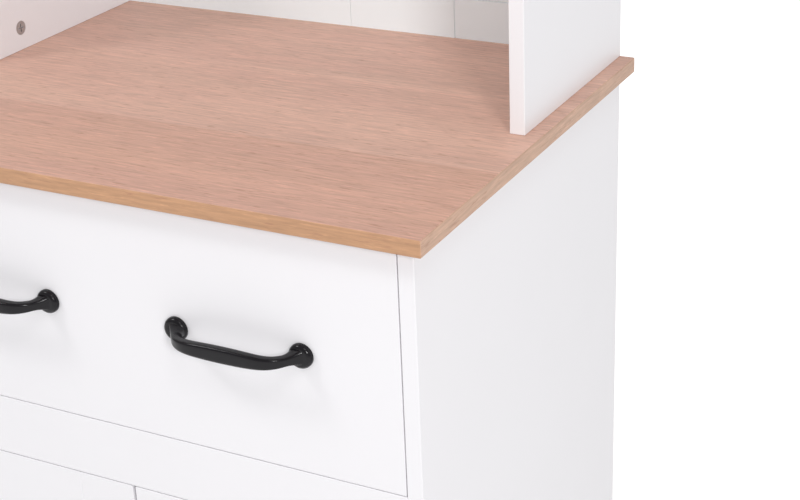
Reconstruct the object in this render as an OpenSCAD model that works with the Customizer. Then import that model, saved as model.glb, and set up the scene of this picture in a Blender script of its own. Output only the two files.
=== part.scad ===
// Microwave stand: a base with one drawer and two doors carries an oak-look worktop,
// and an open hutch with a cable knock-out stands on the back half of the worktop.
// X runs along the width, Y from the fronts to the wall, Z up from the floor.

/* [Worktop] */
// Width of the worktop
top_w = 650; // [600:5:720]
// Depth of the worktop, front edge to wall
top_d = 486; // [470:2:540]
// Thickness of the worktop
top_t = 16; // [15:1:25]
// How far the worktop stands past each side board
side_overhang = 15; // [5:1:25]
// How far the worktop stands past the drawer and door fronts
front_overhang = 16; // [5:1:25]
// Gap between the wall and the back edges of the side boards
wall_gap = 2; // [1:0.5:6]

/* [Boards] */
// Floor to the worktop's upper face
stand_h = 840; // [800:5:900]
// Thickness of the base and hutch boards
board_t = 15; // [15:1:18]
// Thickness of the hardboard back panels
back_t = 3; // [2.5:0.5:4]
// Width of the rebate in the side boards that a back panel lies in
rebate_w = 7; // [5:0.5:8]
// Spacing of the nails round the back panels
nail_pitch = 140; // [100:10:200]
// Floor to the underside of the bottom board
kick_h = 80; // [60:5:110]
// How far the kick board stands back from the fronts
kick_setback = 30; // [10:5:60]
// Height of the plastic glides under the side boards
glide_h = 4; // [3:0.5:8]
// Diameter of a glide
glide_d = 13; // [10:0.5:14]
// Depth of the flat stretchers and of the middle rail
stretcher_d = 70; // [60:5:90]

/* [Shelf] */
// Floor to the underside of the shelf behind the doors
shelf_z = 330; // [260:10:400]
// Shelf front edge to the fronts' outer faces
shelf_setback = 60; // [45:5:100]
// Diameter of a shelf pin
shelf_pin_d = 5; // [4:0.5:6]
// Length of a shelf pin inside the side board
shelf_pin_in = 9; // [7:0.5:11]
// Length of a shelf pin under the shelf
shelf_pin_out = 8; // [6:0.5:12]
// Spacing of the shelf pin holes
pin_pitch = 32; // [25:1:40]

/* [Fronts] */
// Thickness of the drawer front and of the doors
front_t = 15; // [15:1:20]
// Gap above and below each front
front_gap = 1; // [1:0.5:3]
// Gap between the drawer front and the side board beside it
drawer_gap = 1; // [1:0.5:3]
// Gap between a door and the side board beside it, which the hinge fills
side_gap = 2.5; // [2.5:0.5:4]
// Gap between the two doors
middle_gap = 3; // [2:0.5:5]
// Height of the drawer front
drawer_front_h = 236; // [210:1:250]
// Height of the fixed rail under the drawer
front_rail_h = 64; // [50:1:80]
// Width of a door's stiles and rails
stile_w = 62; // [55:1:75]
// Thickness of a door's panel
panel_t = 6; // [4:0.5:7]
// How deep a door's panel lies behind its frame
panel_recess = 5; // [3:0.5:6]
// Depth of the groove round a door's panel
panel_groove = 9; // [7:1:12]

/* [Drawer] */
// Gap between the drawer's back and the cabinet's back panel
drawer_room = 40; // [20:5:60]
// Height of the drawer sides
drawer_side_h = 150; // [130:5:165]
// Thickness of the drawer's sides and back
drawer_t = 12; // [12:1:14]
// Thickness of the drawer's bottom panel
drawer_bottom_t = 3; // [3:0.5:5]
// Drawer front's lower edge to the lower edges of the drawer sides
drawer_lift = 14; // [10:1:20]
// How far the drawer's bottom panel lies above the sides' lower edges
drawer_bottom_lift = 10; // [8:1:14]
// Depth of the grooves that hold the drawer's bottom panel
drawer_groove = 5; // [4:0.5:6]

/* [Slides] */
// Slides come in lengths that are a multiple of this
slide_step = 50; // [25:25:50]
// Length of a slide that stays inside when the drawer is out
slide_hold = 100; // [90:5:150]
// Width of the gap that a slide fills
slide_gap = 12.7; // [12.5:0.1:13.5]
// Height of a slide
slide_h = 35; // [33:1:45]
// Thickness of the slide's steel
steel_t = 1.2; // [1:0.1:1.4]
// Diameter of a bearing ball
ball_d = 4; // [3.5:0.1:4.5]
// Spacing of the bearing balls
ball_pitch = 11; // [8:0.5:12]
// Drawer side's lower edge to the middle of the slide
slide_rise = 55; // [40:5:80]

/* [Handles] */
// Distance between the two screws of a handle
handle_cc = 128; // [112:2:160]
// How far a handle stands out from its front
handle_reach = 32; // [28:1:36]
// Diameter of a handle's round foot
foot_d = 23.5; // [22:0.5:26]
// Height of the handle's bar at its middle
bar_h = 14.5; // [11:0.5:16]
// Thickness of the handle's bar
bar_t = 10; // [7:0.5:11]
// Worktop's end to the middle of the nearer drawer handle
handle_inset = 190; // [160:5:200]
// Door's upper edge to the middle of its handle
door_handle_drop = 135; // [115:5:170]
// Diameter of a handle screw
handle_screw_d = 4; // [3.5:0.5:4.5]

/* [Hinges] */
// Length of a butt hinge
hinge_len = 50; // [40:2:64]
// Door's end to the middle of the nearer hinge
hinge_inset = 80; // [60:5:110]
// Thickness of a hinge leaf
leaf_t = 1.1; // [0.8:0.1:1.1]
// Diameter of the hinge barrel
barrel_d = 6; // [5.5:0.5:7]
// Diameter of the hinge pin
hinge_pin_d = 2.5; // [2:0.1:3]

/* [Catches] */
// Width of a magnetic catch
catch_w = 36; // [28:2:44]
// Depth of a magnetic catch
catch_d = 14; // [10:1:18]
// Height of a magnetic catch
catch_h = 12; // [9:1:15]
// Thickness of the steel strike plate on a door
strike_t = 1; // [0.8:0.1:1.5]

/* [Hutch] */
// Depth of the hutch
hutch_d = 244; // [200:4:300]
// Height of the hutch above the worktop
hutch_h = 670; // [600:10:760]
// Clear height of the microwave bay
bay_h = 385; // [340:5:420]
// Width of the scored knock-out for a cable
knock_w = 100; // [60:5:140]
// Height of the knock-out
knock_h = 45; // [30:1:60]
// Corner radius of the knock-out
knock_r = 8; // [4:1:14]
// Hutch side's inner face to the near end of the knock-out
knock_inset = 70; // [30:5:100]
// Width of the tape that hinges the two halves of the back
tape_w = 48; // [30:2:70]

/* [Wall bracket] */
// Width of the wall bracket
bracket_w = 90; // [80:5:120]
// Height of the bracket's leg on the wall
bracket_h = 26; // [20:1:40]
// Depth of the bracket's leg on the hutch
bracket_foot = 30; // [24:2:40]
// Thickness of the bracket
bracket_t = 2; // [1.5:0.5:3]
// Distance between the bracket's two wall holes
wall_hole_cc = 60; // [40:5:70]
// Diameter of the wall holes
wall_hole_d = 5.5; // [4:0.5:7]

/* [Fixings] */
// Diameter of a cam disc
cam_d = 15; // [12:0.5:15]
// Board's end to the middle of its cam disc
cam_setback = 24; // [20:1:30]
// Wood left under a cam disc
cam_floor = 3; // [2:0.5:4]
// Diameter of a cam bolt
bolt_d = 6; // [5:0.5:7]
// Length of a cam bolt in the board that it is screwed into
bolt_in = 10; // [8:0.5:10.5]
// Diameter of a wood screw
screw_d = 3.5; // [3:0.1:4]
// Length of a wood screw's shank
screw_len = 9; // [7:0.5:9.5]
// Board's end to the nearest cam, screw or shelf pin
fixing_inset = 45; // [35:5:60]
// Drawer side's edge to the nearest cam or screw
drawer_fixing_inset = 28; // [25:1:32]
// Side board's end to the middle of its glide
glide_inset = 30; // [20:5:50]
// Clearance round fixings and panels
play = 0.15; // [0.1:0.05:0.2]

/* [Hidden] */
$fn = 48;

LEFT = -1;
RIGHT = 1;
// A cut runs this far past the face that it opens
over = 0.5;

// Where things are across the width
outer_x = top_w / 2 - side_overhang;
inner_x = outer_x - board_t;
drawer_x = inner_x - slide_gap;

// Where things are along the depth: the middle of the whole depth, handles included, is 0
depth_mid = (min(0, front_overhang - handle_reach) + top_d) / 2;
worktop_y = -depth_mid;
front_y = worktop_y + front_overhang;
behind_y = front_y + front_t;
wall_y = worktop_y + top_d;
back_y = wall_y - wall_gap;
panel_y = back_y - back_t;
hutch_y = back_y - hutch_d;

// A slide is the longest one that the drawer box takes
drawer_depth = panel_y - behind_y - drawer_room;
slide_len = floor(drawer_depth / slide_step) * slide_step;
drawer_travel = slide_len - slide_hold;

// Where things are in height
under_z = stand_h - top_t;
drawer_top_z = under_z - front_gap;
drawer_z = drawer_top_z - drawer_front_h;
front_rail_z = drawer_z - front_gap - front_rail_h;
door_top_z = front_rail_z - front_gap;
floor_z = kick_h + board_t;
door_z = floor_z + front_gap;
rail_z = front_rail_z - board_t;
box_z = drawer_z + drawer_lift;
slide_z = box_z + slide_rise;
total_z = stand_h + hutch_h;
hutch_shelf_z = stand_h + bay_h;

white = [0.95, 0.95, 0.96];
oak = [0.80, 0.60, 0.45];
black = [0.06, 0.06, 0.07];
steel = [0.72, 0.73, 0.75];
grey = [0.80, 0.80, 0.82];

// A board from corner a to corner b
module board(a, b) {
    translate(a) cube(b - a);
}

// Puts its children on one side of the middle: as drawn on the right, mirrored on the left
module on_side(side) {
    mirror([side == LEFT ? 1 : 0, 0, 0]) children();
}

// ---- Cam fixings: a bolt screwed into one board, held by a disc in the other ----
// Local frame: the boards meet at x = 0, the board with the disc lies on +X, and the
// disc goes in from its -Z face. Each place is [position, rotation, thickness].
bolt_tip = cam_setback - cam_d / 2 + bolt_d * 0.75;

module at_place(place) {
    translate(place[0]) rotate(place[1]) children();
}

module cam_cut(place) {
    t = place[2];
    at_place(place) {
        translate([cam_setback, 0, -t / 2 - over])
            cylinder(d = cam_d + 2 * play, h = t - cam_floor + over);
        translate([-bolt_in - play, 0, 0])
            rotate([0, 90, 0]) cylinder(d = bolt_d + 2 * play, h = bolt_in + cam_setback);
    }
}

module cam_disc(place) {
    t = place[2];
    h = t - cam_floor - play;
    slot = 1.4;
    at_place(place) difference() {
        translate([cam_setback, 0, -t / 2]) cylinder(d = cam_d, h = h);
        translate([cam_setback - cam_d, 0, 0])
            rotate([0, 90, 0])
                cylinder(d = bolt_d + 4 * play, h = bolt_tip - cam_setback + cam_d + 2 * play);
        for (turn = [0, 90])
            translate([cam_setback, 0, -t / 2])
                rotate([0, 0, turn]) cube([cam_d * 0.6, slot, slot * 2], center = true);
    }
}

module cam_bolt(place) {
    at_place(place)
        translate([-bolt_in, 0, 0])
            rotate([0, 90, 0]) cylinder(d = bolt_d, h = bolt_in + bolt_tip);
}

// Flat boards between the side boards have their discs underneath
function flat_cams(x, z, ys) = [
    for (side = [LEFT, RIGHT], y = ys)
        [[side * x, y, z + board_t / 2], [0, 0, side == LEFT ? 0 : 180], board_t]
];
bottom_ys = [front_y + fixing_inset, panel_y - fixing_inset];
front_stretcher_y = behind_y + 5;
rear_stretcher_y = panel_y - stretcher_d;
rail_y = behind_y + 1;
bottom_cams = flat_cams(inner_x, kick_h, bottom_ys);
front_stretcher_cams = flat_cams(inner_x, under_z - board_t, [front_stretcher_y + stretcher_d / 2]);
rear_stretcher_cams = flat_cams(inner_x, under_z - board_t, [rear_stretcher_y + stretcher_d / 2]);
rail_cams = flat_cams(inner_x, rail_z, [rail_y + stretcher_d / 2]);
hutch_ys = [hutch_y + fixing_inset, panel_y - fixing_inset];
hutch_shelf_cams = flat_cams(inner_x, hutch_shelf_z, hutch_ys);
hutch_top_cams = flat_cams(inner_x, total_z - board_t, hutch_ys);

// The kick board and the rail under the drawer stand upright, with their discs behind
function upright_cams(y, z, t) = [
    for (side = [LEFT, RIGHT])
        [[side * inner_x, y + t / 2, z], side == LEFT ? [90, 0, 0] : [90, 180, 0], t]
];
kick_y = front_y + kick_setback;
kick_cams = upright_cams(kick_y, (glide_h + kick_h) / 2, board_t);
front_rail_cams = upright_cams(front_y, front_rail_z + front_rail_h / 2, front_t);

// The hutch sides stand on the worktop, with their discs on their inner faces
hutch_foot_cams = [
    for (side = [LEFT, RIGHT], y = hutch_ys)
        [[side * (inner_x + board_t / 2), y, stand_h],
         side == LEFT ? [0, -90, 0] : [0, -90, 180], board_t]
];

// The drawer sides meet the drawer front, with their discs inside the drawer
drawer_cam_zs = [box_z + drawer_fixing_inset, box_z + drawer_side_h - drawer_fixing_inset];
drawer_cams = [
    for (side = [LEFT, RIGHT], z = drawer_cam_zs)
        [[side * (drawer_x - drawer_t / 2), behind_y, z],
         side == LEFT ? [-90, 0, 90] : [90, 0, 90], drawer_t]
];

base_cams = concat(
    bottom_cams, front_stretcher_cams, rear_stretcher_cams, rail_cams, kick_cams, front_rail_cams
);
hutch_cams = concat(hutch_shelf_cams, hutch_top_cams, hutch_foot_cams);

module cam_cuts(places) {
    for (place = places) cam_cut(place);
}

module cam_discs() {
    color(grey) for (place = concat(base_cams, hutch_cams)) cam_disc(place);
}

module cam_bolts() {
    color(steel) for (place = concat(base_cams, hutch_cams)) cam_bolt(place);
}

module drawer_cam_discs() {
    color(grey) for (place = drawer_cams) cam_disc(place);
}

module drawer_cam_bolts() {
    color(steel) for (place = drawer_cams) cam_bolt(place);
}

// ---- Wood screws: the shank points along +X ----
// A countersunk head lies flush in a plate, and a flat head lies on the face behind it
head_d = screw_d * 1.8;

module wood_screw(head_h, len) {
    rotate([0, 90, 0]) {
        cylinder(d1 = head_d, d2 = screw_d, h = head_h);
        cylinder(d = screw_d, h = head_h + len);
    }
}

module wood_screw_cut(head_h, len) {
    rotate([0, 90, 0]) {
        cylinder(d1 = head_d + 2 * play, d2 = screw_d + 2 * play, h = head_h);
        translate([0, 0, -over]) cylinder(d = screw_d + 2 * play, h = head_h + len + play + over);
    }
}

module flat_head_screw(head_h, len) {
    translate([-head_h, 0, 0]) rotate([0, 90, 0]) {
        cylinder(d = head_d, h = head_h);
        cylinder(d = screw_d, h = head_h + len);
    }
}

module screw_bore(len) {
    translate([-over, 0, 0]) rotate([0, 90, 0])
        cylinder(d = screw_d + 2 * play, h = len + play + over);
}

// ---- Nails: through a back panel from behind, into the edges of the boards in front ----
nail_d = 1.6;
nail_in = 12;
nail_head_d = 5;
nail_head_t = 0.8;
nail_x = inner_x + rebate_w / 2 - 0.5;

// Places along a line from a to b, about nail_pitch apart, a margin away from both ends
function along(a, b, margin = 20) =
    let (n = max(1, round((b - a - 2 * margin) / nail_pitch)))
    [for (i = [0:n]) a + margin + i * (b - a - 2 * margin) / n];

function side_nails(z0, z1) = [for (side = [LEFT, RIGHT], z = along(z0, z1)) [side * nail_x, z]];
function board_nails(z) =
    [for (side = [LEFT, RIGHT], x = along(tape_w / 2, inner_x)) [side * x, z + board_t / 2]];

bottom_nails = board_nails(kick_h);
stretcher_nails = board_nails(under_z - board_t);
shelf_nails = board_nails(hutch_shelf_z);
top_nails = board_nails(total_z - board_t);
base_side_nails = side_nails(kick_h, under_z);
hutch_side_nails = side_nails(stand_h, total_z);
base_nails = concat(base_side_nails, bottom_nails, stretcher_nails);
hutch_nails = concat(hutch_side_nails, shelf_nails, top_nails);

module at_nails(places) {
    for (place = places)
        translate([place[0], back_y, place[1]]) rotate([90, 0, 0]) children();
}

module nail_cuts(places) {
    at_nails(places) translate([0, 0, -over]) cylinder(d = nail_d + play, h = nail_in + play + over);
}

module back_nails() {
    color(steel) at_nails(concat(base_nails, hutch_nails)) {
        translate([0, 0, -nail_head_t]) cylinder(d = nail_head_d, h = nail_head_t);
        cylinder(d = nail_d, h = nail_in);
    }
}

// ---- Worktop ----
flat_head_h = 2;
worktop_screw_x = inner_x - 2 * fixing_inset;
worktop_screw_ys = [front_stretcher_y + stretcher_d / 2, rear_stretcher_y + stretcher_d / 2];

module at_worktop_screws() {
    for (side = [LEFT, RIGHT], y = worktop_screw_ys)
        translate([side * worktop_screw_x, y, under_z - board_t]) rotate([0, -90, 0]) children();
}

module worktop() {
    color(oak) difference() {
        board([-top_w / 2, worktop_y, under_z], [top_w / 2, wall_y, stand_h]);
        cam_cuts(hutch_foot_cams);
        at_worktop_screws() screw_bore(board_t + screw_len);
    }
}

// ---- Base boards ----
// Slide screws and hinge screws go into the side boards
slide_y = behind_y + 3;
slide_screw_ys = [slide_y + fixing_inset, slide_y + slide_len / 2, slide_y + slide_len - fixing_inset];
door_h = door_top_z - door_z;
hinge_zs = [door_z + hinge_inset, door_top_z - hinge_inset];
hinge_screw_dz = hinge_len / 4;
leaf_w = front_t - 3;
hinge_screw_y = front_y + leaf_w * 0.65;

module at_slide_screws() {
    for (y = slide_screw_ys) translate([inner_x - steel_t, y, slide_z]) children();
}

module at_hinge_screws() {
    for (z = hinge_zs, dz = [-hinge_screw_dz, hinge_screw_dz])
        translate([inner_x - leaf_t, hinge_screw_y, z + dz]) children();
}

shelf_front_y = front_y + shelf_setback;
shelf_back_y = panel_y - 5;
pin_ys = [shelf_front_y + fixing_inset, shelf_back_y - fixing_inset];
pin_z = shelf_z - shelf_pin_d / 2;

module at_shelf_pins(steps) {
    for (y = pin_ys, step = steps)
        translate([inner_x, y, pin_z + step * pin_pitch]) rotate([0, 90, 0]) children();
}

module back_rebate(z0, z1) {
    board([inner_x - over, panel_y, z0], [inner_x + rebate_w, back_y + over, z1]);
}

module base_side(side) {
    color(white) difference() {
        on_side(side) difference() {
            board([inner_x, front_y, glide_h], [outer_x, back_y, under_z]);
            back_rebate(glide_h - over, under_z + over);
            at_shelf_pins([-2:2])
                translate([0, 0, -over])
                    cylinder(d = shelf_pin_d + 2 * play, h = shelf_pin_in + play + over);
            at_slide_screws() wood_screw_cut(steel_t, screw_len);
            at_hinge_screws() wood_screw_cut(leaf_t, screw_len);
        }
        cam_cuts(base_cams);
        nail_cuts(base_side_nails);
    }
}

module base_bottom() {
    color(white) difference() {
        board([-inner_x, front_y, kick_h], [inner_x, panel_y, floor_z]);
        cam_cuts(bottom_cams);
        nail_cuts(bottom_nails);
    }
}

module kick_board() {
    color(white) difference() {
        board([-inner_x, kick_y, glide_h], [inner_x, kick_y + board_t, kick_h]);
        cam_cuts(kick_cams);
    }
}

panel_reach = inner_x + rebate_w - play;

module base_back_panel() {
    color(white) difference() {
        board([-panel_reach, panel_y, kick_h], [panel_reach, back_y, under_z]);
        nail_cuts(base_nails);
    }
}

module stretcher(y, cams, nails) {
    color(white) difference() {
        board([-inner_x, y, under_z - board_t], [inner_x, y + stretcher_d, under_z]);
        cam_cuts(cams);
        at_worktop_screws() screw_bore(board_t + screw_len);
        nail_cuts(nails);
    }
}

module front_stretcher() {
    stretcher(front_stretcher_y, front_stretcher_cams, []);
}

module rear_stretcher() {
    stretcher(rear_stretcher_y, rear_stretcher_cams, stretcher_nails);
}

// A fixed strip under the drawer, flush with the fronts
module front_rail() {
    color(white) difference() {
        board([-inner_x, front_y, front_rail_z], [inner_x, behind_y, front_rail_z + front_rail_h]);
        cam_cuts(front_rail_cams);
    }
}

// A flat rail behind it, which the doors close against
module middle_rail() {
    color(white) difference() {
        board([-inner_x, rail_y, rail_z], [inner_x, rail_y + stretcher_d, rail_z + board_t]);
        cam_cuts(rail_cams);
    }
}

module base_shelf() {
    reach = inner_x - 1;
    color(white) board([-reach, shelf_front_y, shelf_z], [reach, shelf_back_y, shelf_z + board_t]);
}

module shelf_pins() {
    color(steel) for (side = [LEFT, RIGHT]) on_side(side) at_shelf_pins([0])
        translate([0, 0, -shelf_pin_out]) cylinder(d = shelf_pin_d, h = shelf_pin_out + shelf_pin_in);
}

module glides() {
    ys = [front_y + glide_inset, back_y - glide_inset];
    color(grey) for (side = [LEFT, RIGHT], y = ys)
        translate([side * (inner_x + board_t / 2), y, 0])
            rotate_extrude() polygon([
                [0, 0], [glide_d / 2 - 1, 0], [glide_d / 2, 1], [glide_d / 2, glide_h], [0, glide_h]
            ]);
}

// ---- Hutch ----
module hutch_side(side) {
    color(white) difference() {
        on_side(side) difference() {
            board([inner_x, hutch_y, stand_h], [outer_x, back_y, total_z]);
            back_rebate(stand_h - over, total_z + over);
        }
        cam_cuts(hutch_cams);
        nail_cuts(hutch_side_nails);
    }
}

module hutch_shelf() {
    color(white) difference() {
        board([-inner_x, hutch_y, hutch_shelf_z], [inner_x, panel_y, hutch_shelf_z + board_t]);
        cam_cuts(hutch_shelf_cams);
        nail_cuts(shelf_nails);
    }
}

bracket_screw_y = panel_y - bracket_foot / 2;
bracket_screw_x = wall_hole_cc / 2;

module at_bracket_screws(z) {
    for (side = [LEFT, RIGHT])
        translate([side * bracket_screw_x, bracket_screw_y, z]) rotate([0, 90, 0]) children();
}

module hutch_top() {
    color(white) difference() {
        board([-inner_x, hutch_y, total_z - board_t], [inner_x, panel_y, total_z]);
        cam_cuts(hutch_top_cams);
        nail_cuts(top_nails);
        at_bracket_screws(total_z) screw_bore(screw_len);
    }
}

// The back is a sheet that folds at the middle, in two halves with a tape behind
seam_gap = 0.4;
tape_t = 0.3;

module hutch_back(side) {
    difference() {
        on_side(side)
            board([seam_gap / 2, panel_y, stand_h], [panel_reach, back_y, total_z]);
        nail_cuts(hutch_nails);
    }
}

module hutch_back_left() {
    color(white) hutch_back(LEFT);
}

// The right half is scored round a knock-out, which is broken out for the microwave's cable
score_w = 1.2;
score_d = 1;

module knock_out(inset) {
    x1 = inner_x - knock_inset;
    x0 = x1 - knock_w;
    translate([x0 + inset, stand_h - over])
        square([knock_w - 2 * inset, knock_h - knock_r + over]);
    translate([x0 + knock_r, stand_h]) square([knock_w - 2 * knock_r, knock_h - inset]);
    for (x = [x0 + knock_r, x1 - knock_r])
        translate([x, stand_h + knock_h - knock_r]) circle(r = knock_r - inset);
}

module hutch_back_right() {
    color(white) difference() {
        hutch_back(RIGHT);
        translate([0, panel_y - over, 0]) rotate([90, 0, 0]) mirror([0, 0, 1])
            linear_extrude(score_d + over) difference() {
                knock_out(0);
                knock_out(score_w);
            }
    }
}

module hutch_back_tape() {
    color(white)
        board([-tape_w / 2, back_y, stand_h], [tape_w / 2, back_y + tape_t, total_z]);
}

module wall_bracket() {
    foot_y = panel_y - bracket_foot;
    color(steel) difference() {
        union() {
            board([-bracket_w / 2, foot_y, total_z], [bracket_w / 2, wall_y, total_z + bracket_t]);
            board([-bracket_w / 2, wall_y - bracket_t, total_z],
                  [bracket_w / 2, wall_y, total_z + bracket_h]);
        }
        at_bracket_screws(total_z + bracket_t) screw_bore(bracket_t);
        for (side = [LEFT, RIGHT])
            translate([side * wall_hole_cc / 2, wall_y + over, total_z + bracket_h * 0.6])
                rotate([90, 0, 0]) cylinder(d = wall_hole_d, h = bracket_t + 2 * over);
    }
}

// ---- Drawer ----
front_x = inner_x - side_gap;
box_back_y = behind_y + drawer_depth;
tray_z = box_z + drawer_bottom_lift;

// The round cut for a handle screw runs through the front
module handle_screw_cut() {
    translate([0, -over, 0]) rotate([-90, 0, 0])
        cylinder(d = handle_screw_d + 4 * play, h = front_t + 2 * over);
}

handle_z = drawer_z + drawer_front_h / 2;

module at_drawer_handle(side) {
    translate([side * (top_w / 2 - handle_inset), front_y, handle_z]) children();
}

module at_handle_screws() {
    for (s = [-1, 1]) translate([s * handle_cc / 2, 0, 0]) children();
}

module drawer_tray_cut() {
    board([-drawer_x + drawer_t - drawer_groove, behind_y - drawer_groove, tray_z],
          [drawer_x - drawer_t + drawer_groove, box_back_y + over,
           tray_z + drawer_bottom_t + play]);
}

module drawer_front() {
    color(white) difference() {
        board([drawer_gap - inner_x, front_y, drawer_z], [inner_x - drawer_gap, behind_y, drawer_top_z]);
        drawer_tray_cut();
        cam_cuts(drawer_cams);
        for (side = [LEFT, RIGHT]) at_drawer_handle(side) at_handle_screws() handle_screw_cut();
    }
}

// They miss the cabinet's slide screws, which lie opposite
slide_drawer_screw_ys = [for (y = slide_screw_ys) y + 3 * head_d];

module at_slide_drawer_screws() {
    for (y = slide_drawer_screw_ys)
        translate([drawer_x + steel_t, y, slide_z]) rotate([0, 0, 180]) children();
}

module at_drawer_back_screws() {
    for (z = drawer_cam_zs)
        translate([drawer_x, box_back_y - drawer_t / 2, z]) rotate([0, 0, 180]) children();
}

back_screw_head = 2;

module drawer_side(side) {
    color(white) difference() {
        on_side(side) difference() {
            board([drawer_x - drawer_t, behind_y, box_z],
                  [drawer_x, box_back_y, box_z + drawer_side_h]);
            at_slide_drawer_screws() wood_screw_cut(steel_t, screw_len);
            at_drawer_back_screws() wood_screw_cut(back_screw_head, drawer_t + screw_len);
        }
        drawer_tray_cut();
        cam_cuts(drawer_cams);
    }
}

module drawer_back() {
    reach = drawer_x - drawer_t;
    color(white) difference() {
        board([-reach, box_back_y - drawer_t, tray_z + drawer_bottom_t + play],
              [reach, box_back_y, box_z + drawer_side_h]);
        for (side = [LEFT, RIGHT]) on_side(side) at_drawer_back_screws()
            wood_screw_cut(back_screw_head, drawer_t + screw_len);
    }
}

module drawer_bottom() {
    reach = drawer_x - drawer_t + drawer_groove - 2 * play;
    color(white)
        board([-reach, behind_y - drawer_groove + 2 * play, tray_z],
              [reach, box_back_y, tray_z + drawer_bottom_t]);
}

module drawer_back_screws() {
    color(steel) for (side = [LEFT, RIGHT]) on_side(side) at_drawer_back_screws()
        wood_screw(back_screw_head, drawer_t + screw_len - back_screw_head);
}

// ---- Ball bearing slides, drawn for the right side ----
// Profiles lie in (x, z): x runs from the cabinet side's face at 0 to the drawer at slide_gap
race_z = slide_h / 2 - steel_t;
ball_play = 0.2;
ball_z = race_z - ball_play - ball_d / 2;
inner_race_z = ball_z - ball_d / 2 - ball_play;
ball_x = slide_gap / 2;
lip_h = ball_d * 0.7;
mouth_x = slide_gap - 2.2;
cage_t = 0.8;
cage_len = slide_len - drawer_travel - 20;
cage_y = slide_y + drawer_travel / 2 + 10;
ball_count = floor((cage_len - 2 * ball_d) / ball_pitch) + 1;

module slide_bar(profile_len, y) {
    translate([inner_x, y, slide_z]) rotate([90, 0, 0]) mirror([0, 0, 1])
        linear_extrude(profile_len) mirror([1, 0]) children();
}

// The outline of a channel of thickness t: its web at x = web, its flanges' tips at x = tip
function channel(web, tip, t, half_h) =
    let (in_x = web + sign(tip - web) * t, in_z = half_h - t)
    [[web, -half_h], [tip, -half_h], [tip, -in_z], [in_x, -in_z],
     [in_x, in_z], [tip, in_z], [tip, half_h], [web, half_h]];

// The cabinet's channel has lips that keep the balls in
function lipped_channel(tip, t, half_h, lip) =
    let (in_z = half_h - t)
    [[0, -half_h], [tip, -half_h], [tip, lip - in_z], [tip - t, lip - in_z], [tip - t, -in_z],
     [t, -in_z], [t, in_z],
     [tip - t, in_z], [tip - t, in_z - lip], [tip, in_z - lip], [tip, half_h], [0, half_h]];

module slide_cabinet(side) {
    color(steel) on_side(side) difference() {
        slide_bar(slide_len, slide_y) polygon(lipped_channel(mouth_x, steel_t, slide_h / 2, lip_h));
        at_slide_screws() wood_screw_cut(steel_t, screw_len);
    }
}

module slide_drawer(side) {
    color(steel) on_side(side) difference() {
        slide_bar(slide_len, slide_y)
            polygon(channel(slide_gap, ball_x - ball_d * 0.7, steel_t, inner_race_z));
        at_slide_drawer_screws() wood_screw_cut(steel_t, screw_len);
    }
}

module at_balls() {
    first = cage_y + (cage_len - (ball_count - 1) * ball_pitch) / 2;
    for (flip = [-1, 1], i = [0:ball_count - 1])
        translate([inner_x - ball_x, first + i * ball_pitch, slide_z + flip * ball_z]) children();
}

module slide_cage(side) {
    web_x = steel_t + 0.5;
    half_h = ball_z + cage_t / 2;
    on_side(side) {
        color(grey) difference() {
            slide_bar(cage_len, cage_y)
                polygon(channel(web_x, mouth_x - steel_t - 0.4, cage_t, half_h));
            at_balls() cylinder(d = ball_d + 2 * play, h = 2 * cage_t, center = true);
        }
        color(steel) at_balls() sphere(d = ball_d);
    }
}

module slide_drawer_screws() {
    color(steel) for (side = [LEFT, RIGHT]) on_side(side)
        at_slide_drawer_screws() wood_screw(steel_t, screw_len);
}

module cabinet_screws() {
    color(steel) {
        for (side = [LEFT, RIGHT]) on_side(side) {
            at_slide_screws() wood_screw(steel_t, screw_len);
            at_hinge_screws() wood_screw(leaf_t, screw_len);
        }
        at_worktop_screws() flat_head_screw(flat_head_h, board_t + screw_len);
        at_bracket_screws(total_z + bracket_t) flat_head_screw(flat_head_h, bracket_t + screw_len);
    }
}

// ---- Handles: an arched bar on two round feet, the arch in the plane of the screws ----
// Local frame: screws at x = -+handle_cc / 2, the front's face at y = 0, the bar towards -Y.
// The arch ends a little inside the feet's centres, and its necks flare out into the feet.
arch_inset = 2;
arch_x = handle_cc / 2 - arch_inset;
arch_y = handle_reach - bar_t / 2;
arch_steps = 28;
ring_steps = 16;
foot_t = 6.3;
neck_len = 13.4;
neck_extra_t = 6.8;
neck_extra_h = 8.2;
bar_end_h = bar_h * 0.5;

// The arch's middle line follows |x / arch_x| ^ side_power + (rise / arch_y) ^ top_power = 1.
// k is the share of the way from the middle to a foot.
side_power = 6.5;
top_power = 1.05;
function arch_rise(k) =
    max(foot_t / 2, arch_y * pow(max(0, 1 - pow(abs(k), side_power)), 1 / top_power));
function arch_share(i) = sin(-90 + 180 * i / arch_steps);
function arch_point(k) = [arch_x * k, -arch_rise(k)];
function neck_flare(k) = pow(max(0, 1 - (arch_rise(k) - foot_t / 2) / neck_len), 2);
function section_t(k) = bar_t + neck_extra_t * neck_flare(k);
function section_h(k) =
    bar_end_h + (bar_h - bar_end_h) * (1 - k * k) + neck_extra_h * neck_flare(k);
function soft(v) = sign(v) * pow(abs(v), 0.75);

// Square to the middle line, away from the front
function arch_normal(k) =
    let (out = [side_power * sign(k) * pow(abs(k), side_power - 1) / arch_x,
                -top_power * pow(arch_rise(k) / arch_y, top_power - 1) / arch_y])
    out / norm(out);

function arch_ring(i) =
    let (k = arch_share(i), c = arch_point(k), n = arch_normal(k))
    [for (j = [0:ring_steps - 1])
        let (turn = 360 * j / ring_steps,
             out = section_t(k) / 2 * soft(cos(turn)), up = section_h(k) / 2 * soft(sin(turn)))
        [c[0] + n[0] * out, c[1] + n[1] * out, up]];

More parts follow.
